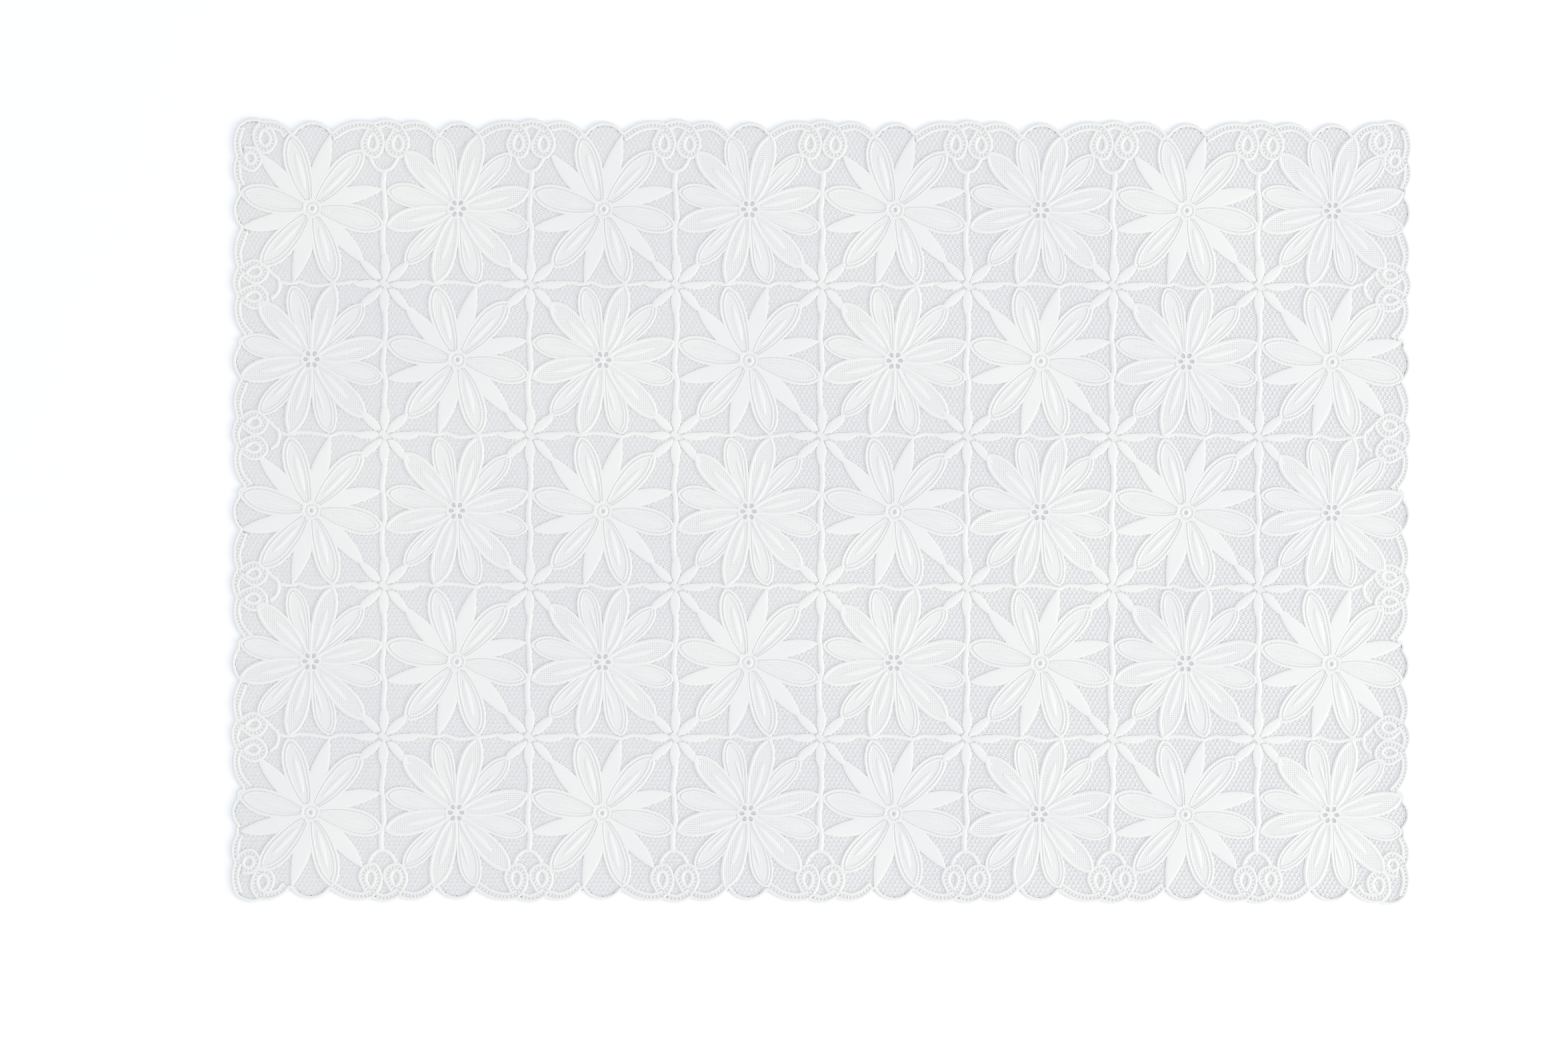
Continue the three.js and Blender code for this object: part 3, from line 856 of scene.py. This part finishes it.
def edge_outline():
    """Outline of the mat, anticlockwise."""
    flip_x = lambda points: [(-x, y) for x, y in points][::-1]
    flip_y = lambda points: [(x, -y) for x, y in points][::-1]
    top, left = [], []
    for column in reversed(range(COLUMNS)):
        top += shifted([TOP_FLOWER_CROWN], column_x(column), row_y(0))
        if column:
            top += shifted(TOP_SEAM, seam_x(column - 1), row_y(0))[::-1]
    for row in range(ROWS):
        left += shifted([LEFT_FLOWER_CROWN], column_x(0), row_y(row))
        if row < ROWS - 1:
            left += shifted(LEFT_SEAM, column_x(0), seam_y(row))
    corner = shifted(CORNER, column_x(0), row_y(0))
    left_side = [*corner, *left, *flip_y(corner)]
    points = [*top, *left_side, *flip_y(top), *flip_x(left_side)]
    points.insert(0, points[-1])
    return np.vstack([arc_over(*points[k:k + 3]) for k in range(0, len(points) - 2, 2)])


def dotted_band(solid, row, outline, loops):
    """A row of dots between two cords, on a flat strip just above the net. A cord is left out where the
    mat's edge cord or a loop takes its place."""
    t = tangents(row)
    longer = np.vstack([row[0] - t[0] * BAND_END, row, row[-1] + t[-1] * BAND_END])
    cord(solid, longer, BAND_FLOOR_HALF, NET_CREST + 0.01, profile=FLAT, drop=0)
    bars(solid, row, BAND_BAR_HALF, EDGE_DOT_PITCH, BAND_BAR_LENGTH, BAR + 0.1)
    for side in (-1, 1):
        line = even(offset(even(longer, 0.5), side * BAND), 0.3)
        free = depth(line, outline)[0] > 2 * EDGE_HALF - 0.2
        for loop in loops:
            free &= depth(line, loop)[0] < -LOOP_HALF
        start, end = longest_run(free)
        if end - start > 6:
            cord(solid, line[start:end], BAND_HALF, CORD + SCROLL_RISE, rib=RIB_DEPTH, lean=0)


def scrolls(rows, loops, cup, outline):
    """Bands of dots that end in curls, and the cup below them, with the middle line and the half width of
    all that covers the net."""
    solid = Solid()
    rows = [spline(points) for points in rows]
    loops = [spline(points, closed=True) for points in loops]
    for row in rows:
        dotted_band(solid, row, outline, loops)
    for loop in loops:
        cord(solid, loop, LOOP_HALF, CORD + SCROLL_RISE, rib=RIB_DEPTH * 0.7, lean=0, closed=True)
    lines = [(row, BAND + BAND_HALF) for row in rows] + [(loop, LOOP_HALF) for loop in loops]
    if cup:
        cord(solid, spline(cup), CUP_HALF, CORD, rib=RIB_DEPTH, lean=0)
        lines.append((spline(cup), CUP_HALF))
    return solid, lines


# ---------------- net

HOLE_PITCH_X, HOLE_PITCH_Y = 1.79032, 1.55405  # every other row is moved by half a pitch
FIRST_HOLE = (0.325, 0.36)
HOLE_HALF_X, HOLE_HALF_Y = 0.725, 0.835
NET_TUCK = 0.6  # how far inside the mat's outline the net ends, under the edge cord
HIDDEN = 1.15  # a hole whose middle is this deep under a petal or a cord is left out
BLIND = -0.45  # a hole whose middle is at least this deep may be partly covered, and has a floor
BLIND_FLOOR = 0.28
EDGE_HOLE_DEPTH = NET_TUCK - 0.5  # a hole whose middle is nearer to the mat's outline is left out
LATTICE_REACH_X, LATTICE_REACH_Y = 140, 110  # more holes each way than the mat has
EDGE_REACH = 7  # the mat's outline stays within this distance of its box
KEY_SHIFT, KEY_STEP = 1000, 10000  # make one number of a joint's two places in the lattice
PAIR_STEP = 10**6  # makes one number of two joints


def near_edge(points, outline):
    """Which points are so far out that they may be near the outline."""
    return np.flatnonzero((np.abs(points) > outline.max(0) - EDGE_REACH).any(1))


def lattice(outline):
    """Centres of the net's holes within the outline, with their place in the lattice."""
    high = outline.max(0)
    rows = np.arange(-LATTICE_REACH_Y, LATTICE_REACH_Y + 1)
    places = np.arange(-LATTICE_REACH_X, LATTICE_REACH_X + 1)
    row, place_in_row = (grid.ravel() for grid in np.meshgrid(rows, places, indexing="ij"))
    half_steps = 2 * place_in_row + row % 2
    x, y = FIRST_HOLE[0] + half_steps * HOLE_PITCH_X / 2, FIRST_HOLE[1] + row * HOLE_PITCH_Y
    centres = np.column_stack([x, y])
    near = (np.abs(centres) < high + 1).all(1)
    centres, half_steps, row = centres[near], half_steps[near], row[near]
    kept = np.ones(len(centres), bool)
    outer = near_edge(centres, outline)
    kept[outer] = depth(centres[outer], outline)[0] > EDGE_HOLE_DEPTH
    return centres[kept], half_steps[kept], row[kept]


def hole_depths(centres, ring_outlines, full_outlines, star_outlines, lines):
    """How deep each hole lies under the petals, leaves, discs and cords, negative beside them."""
    depths = np.full(len(centres), -9.0)

    def cover(x, y, reach, outlines, disc):
        """Covers the holes under a disc and outlines about x, y, none of which go further than reach."""
        near = np.flatnonzero((np.abs(centres - [x, y]) < reach).all(1))
        local = centres[near] - [x, y]
        found = disc - np.linalg.norm(local, axis=1)
        for outline in outlines:
            found = np.maximum(found, depth(local, outline)[0])
        depths[near] = np.maximum(depths[near], found)

    for row in range(ROWS):
        for column in range(COLUMNS):
            outlines, disc = (ring_outlines, 10.5) if is_ring(row, column) else (full_outlines, 8)
            cover(column_x(column), row_y(row), 31, outlines, disc)
            if row < ROWS - 1 and column < COLUMNS - 1:
                cover(seam_x(column), seam_y(row), 14, star_outlines, STAR_WEB + 0.2)
    for path, half in lines:
        low, high = path.min(0) - 2, path.max(0) + 2
        near = np.flatnonzero((centres > low).all(1) & (centres < high).all(1))
        gaps = np.linalg.norm(centres[near][:, None] - even(path, 0.4), axis=2).min(1)
        depths[near] = np.maximum(depths[near], half - gaps)
    return depths


def net_piece(centres, half_steps, row, blind, outline):
    """The net round these holes. half_steps and row are their places in the lattice. Blind holes have
    a floor."""
    solid = Solid()
    rise = HOLE_PITCH_Y / 3
    corner_x = np.array([1, 0, -1, -1, 0, 1])
    corner_y = np.array([1, 2, 1, -1, -2, -1])
    key_x = half_steps[:, None] + corner_x
    key_y = 3 * row[:, None] + corner_y
    keys = (key_x + KEY_SHIFT) * KEY_STEP + key_y + KEY_SHIFT
    used, ids = np.unique(keys, return_inverse=True)
    ids = ids.reshape(keys.shape)
    joints = np.column_stack([
        FIRST_HOLE[0] + (used // KEY_STEP - KEY_SHIFT) * HOLE_PITCH_X / 2,
        FIRST_HOLE[1] + (used % KEY_STEP - KEY_SHIFT) * rise,
    ])
    hole = np.column_stack([corner_x * HOLE_HALF_X, corner_y * HOLE_HALF_Y / 2])
    rims = (centres[:, None] + hole).reshape(-1, 2)

    def tucked(points):
        """Points moved in from the mat's edge, to lie under its cord."""
        out = points.copy()
        near = near_edge(points, outline)
        if len(near):
            inside, nearest = depth(points[near], outline)
            close = inside < NET_TUCK
            near, inside, nearest = near[close], inside[close], nearest[close]
            away = (points[near] - nearest) * np.sign(inside)[:, None]
            away /= np.maximum(np.linalg.norm(away, axis=1), 1e-6)[:, None]
            out[near] = nearest + away * NET_TUCK
        return out

    joints, rims = tucked(joints), tucked(rims)
    n_joint, n_rim = len(joints), len(rims)
    low_rims = np.where(np.repeat(blind, 6), BLIND_FLOOR, NET_FLOOR)
    layers = ((joints, NET_CREST), (rims, NET_RIM), (joints, NET_FLOOR), (rims, low_rims))
    points = np.vstack([np.column_stack([p, np.broadcast_to(z, len(p))]) for p, z in layers])
    rim = n_joint + np.arange(n_rim).reshape(-1, 6)
    low, low_rim = n_joint + n_rim, n_joint + n_rim + n_joint
    joint, next_joint = ids, np.roll(ids, -1, axis=1)
    next_rim = np.roll(rim, -1, axis=1)
    under, next_under = rim - n_joint + low_rim, next_rim - n_joint + low_rim
    top = np.stack([joint, next_joint, next_rim, rim], axis=2)
    wall = np.stack([rim, next_rim, next_under, under], axis=2)
    bottom = np.stack([joint + low, under, next_under, next_joint + low], axis=2)[~blind]
    forward = (joint * PAIR_STEP + next_joint).ravel()
    backward = (next_joint * PAIR_STEP + joint).ravel()
    alone = ~np.isin(forward, backward)
    one, two = joint.ravel()[alone], next_joint.ravel()[alone]
    side = np.column_stack([two, one, one + low, two + low])
    sets = [top.reshape(-1, 4), wall.reshape(-1, 4), bottom.reshape(-1, 4), side]
    if blind.any():
        sets += [under[blind], joint[blind][:, ::-1] + low]
    solid.add(points, *sets)
    return solid


# ---------------- material

def vinyl_material():
    """White soft vinyl: a faint cloudiness, a fine moulded grain and a slightly uneven sheen."""
    material = bpy.data.materials.new("white_vinyl")
    material.use_nodes = True
    nodes, links = material.node_tree.nodes, material.node_tree.links
    nodes.clear()
    out = nodes.new("ShaderNodeOutputMaterial")
    shader = nodes.new("ShaderNodeBsdfPrincipled")
    links.new(shader.outputs["BSDF"], out.inputs["Surface"])
    geometry = nodes.new("ShaderNodeNewGeometry")

    def noise(scale, detail):
        node = nodes.new("ShaderNodeTexNoise")
        node.inputs["Scale"].default_value = scale
        node.inputs["Detail"].default_value = detail
        links.new(geometry.outputs["Position"], node.inputs["Vector"])
        return node.outputs["Fac"]

    def ramp(value, low, high):
        node = nodes.new("ShaderNodeMapRange")
        node.inputs["From Min"].default_value = 0.3
        node.inputs["From Max"].default_value = 0.7
        node.inputs["To Min"].default_value = low
        node.inputs["To Max"].default_value = high
        links.new(value, node.inputs["Value"])
        return node.outputs["Result"]

    colour = nodes.new("ShaderNodeValToRGB")
    colour.color_ramp.elements[0].position = 0.3
    colour.color_ramp.elements[0].color = (0.748, 0.748, 0.75, 1)
    colour.color_ramp.elements[1].position = 0.7
    colour.color_ramp.elements[1].color = (0.783, 0.78, 0.771, 1)
    links.new(noise(14, 3), colour.inputs["Fac"])
    links.new(colour.outputs["Color"], shader.inputs["Base Color"])
    links.new(ramp(noise(160, 2), 0.42, 0.56), shader.inputs["Roughness"])
    shader.inputs["IOR"].default_value = 1.5
    shader.inputs["Specular IOR Level"].default_value = 0.4
    grain = nodes.new("ShaderNodeBump")
    grain.inputs["Strength"].default_value = 0.25
    grain.inputs["Distance"].default_value = 0.00004
    links.new(noise(5200, 2), grain.inputs["Height"])
    links.new(grain.outputs["Normal"], shader.inputs["Normal"])
    return material


# ---------------- building

VINYL = vinyl_material()


def place(mesh, name, x=0.0, y=0.0, node=None):
    piece = bpy.data.objects.new(name, mesh)
    bpy.context.scene.collection.objects.link(piece)
    piece.location = (x * MM, y * MM, 0)
    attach(piece, "root")
    if node:
        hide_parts(node)
    return piece


def build_camera():
    """A camera that looks straight down, from a little left of and below the mat's middle."""
    data = bpy.data.cameras.new("camera")
    camera = bpy.data.objects.new("camera", data)
    bpy.context.scene.collection.objects.link(camera)
    bpy.context.scene.camera = camera
    high, view_wide = 1.9, 0.5972  # its height, and the width of its view at the table, in metres
    data.sensor_width = 36
    data.lens = data.sensor_width * high / view_wide
    data.clip_start, data.clip_end = 0.05, 20
    camera.location = (-0.0142, -0.0042, high)
    camera.rotation_euler.z = 0.0026


def build_stage():
    bpy.ops.mesh.primitive_plane_add(size=8, location=(0, 0, -0.00003))
    floor = bpy.context.object
    floor.name = "floor"
    material = bpy.data.materials.new("floor")
    material.use_nodes = True
    shader = material.node_tree.nodes["Principled BSDF"]
    shader.inputs["Base Color"].default_value = (0.90, 0.91, 0.93, 1)
    shader.inputs["Roughness"].default_value = 0.9
    shader.inputs["Specular IOR Level"].default_value = 0.1
    floor.data.materials.append(material)


def build_lights():
    world = bpy.data.worlds.new("world")
    bpy.context.scene.world = world
    world.use_nodes = True
    background = world.node_tree.nodes["Background"]
    background.inputs["Color"].default_value = (0.968, 0.982, 1, 1)
    background.inputs["Strength"].default_value = 1.03
    key = bpy.data.lights.new("key", "AREA")
    key.shape = "RECTANGLE"
    key.size, key.size_y = 1.6, 0.9
    key.energy = 27
    key.color = (1, 0.985, 0.955)
    lamp = bpy.data.objects.new("key", key)
    bpy.context.scene.collection.objects.link(lamp)
    lamp.location = (2.15, -0.8, 0.88)
    lamp.rotation_euler = (-Vector(lamp.location)).to_track_quat("-Z", "Y").to_euler()


bpy.context.scene.view_settings.view_transform = "Standard"
build_camera()
build_stage()
build_lights()

outline = edge_outline()
ring, ring_outlines = ring_flower()
full, full_outlines = full_flower()
star_solid, star_outlines = star()

ring_mesh, full_mesh = ring.make("ring_flower_mesh"), full.make("full_flower_mesh")
for row in range(ROWS):
    for column in range(COLUMNS):
        kind, mesh = ("ring_flower", ring_mesh) if is_ring(row, column) else ("full_flower", full_mesh)
        spot = f"r{row + 1}_c{column + 1}"
        place(mesh, f"lace_{kind}_{spot}", column_x(column), row_y(row), f"{kind}_{spot}")

for column in range(COLUMNS - 1):
    spine = Solid()
    for row in range(ROWS):
        stem(spine, row, column)
        if row < ROWS - 1:
            spine.paste(star_solid, seam_x(column), seam_y(row))
            level(spine, row, column)
            if column == COLUMNS - 2:
                level(spine, row, column + 1)
    node = f"star_spine_{column + 1}"
    place(spine.make(node + "_mesh"), f"lace_{node}", node=node)

edge_cord = Solid()
edge_line = offset(even(outline, EDGE_STEP, closed=True), EDGE_HALF, closed=True)
cord(edge_cord, edge_line, EDGE_HALF, CORD + 0.08, rib=RIB_DEPTH, lean=0, closed=True)
place(edge_cord.make("edge_cord_mesh"), "lace_edge_cord", node="scalloped_edging")

top_unit = scrolls(TOP_ROWS, TOP_LOOPS, TOP_CUP, outline - [seam_x(2), row_y(0)])
left_unit = scrolls(LEFT_ROWS, LEFT_LOOPS, LEFT_CUP, outline - [column_x(0), seam_y(1)])
corner_unit = scrolls(CORNER_ROWS, CORNER_LOOPS, None, outline - [column_x(0), row_y(0)])


def paste_scrolls(solid, unit, x, y, mirror_x=False, mirror_y=False):
    """Adds a copy of some scrolls to a solid, and their lines to cord_lines."""
    motif, lines = unit
    solid.paste(motif, x, y, mirror_x, mirror_y)
    flip = np.array([-1 if mirror_x else 1, -1 if mirror_y else 1])
    cord_lines.extend((path * flip + [x, y], half) for path, half in lines)


for name, low in (("top", False), ("bottom", True)):
    solid = Solid()
    for column in range(COLUMNS - 1):
        paste_scrolls(solid, top_unit, seam_x(column), -row_y(0) if low else row_y(0), mirror_y=low)
    place(solid.make(f"scrolls_{name}_mesh"), f"lace_scrolls_{name}", node="scalloped_edging")
for name, right in (("left", False), ("right", True)):
    solid = Solid()
    x = -column_x(0) if right else column_x(0)
    for row in range(ROWS - 1):
        paste_scrolls(solid, left_unit, x, seam_y(row), mirror_x=right)
    for low in (False, True):
        paste_scrolls(solid, corner_unit, x, -row_y(0) if low else row_y(0), mirror_x=right, mirror_y=low)
    place(solid.make(f"scrolls_{name}_mesh"), f"lace_scrolls_{name}", node="scalloped_edging")

centres, half_steps, lattice_rows = lattice(outline)
depths = hole_depths(centres, ring_outlines, full_outlines, star_outlines, cord_lines)
seen = depths < HIDDEN
centres, half_steps, lattice_rows = centres[seen], half_steps[seen], lattice_rows[seen]
blind = depths[seen] > BLIND
strip = np.clip(np.floor((centres[:, 0] + COLUMNS / 2 * PITCH_X) / PITCH_X), 0, COLUMNS - 1)
for column in range(COLUMNS):
    mine = strip == column
    solid = net_piece(centres[mine], half_steps[mine], lattice_rows[mine], blind[mine], outline)
    net = place(solid.make(f"net_{column + 1}_mesh"), f"lace_net_{column + 1}", node="net_ground")
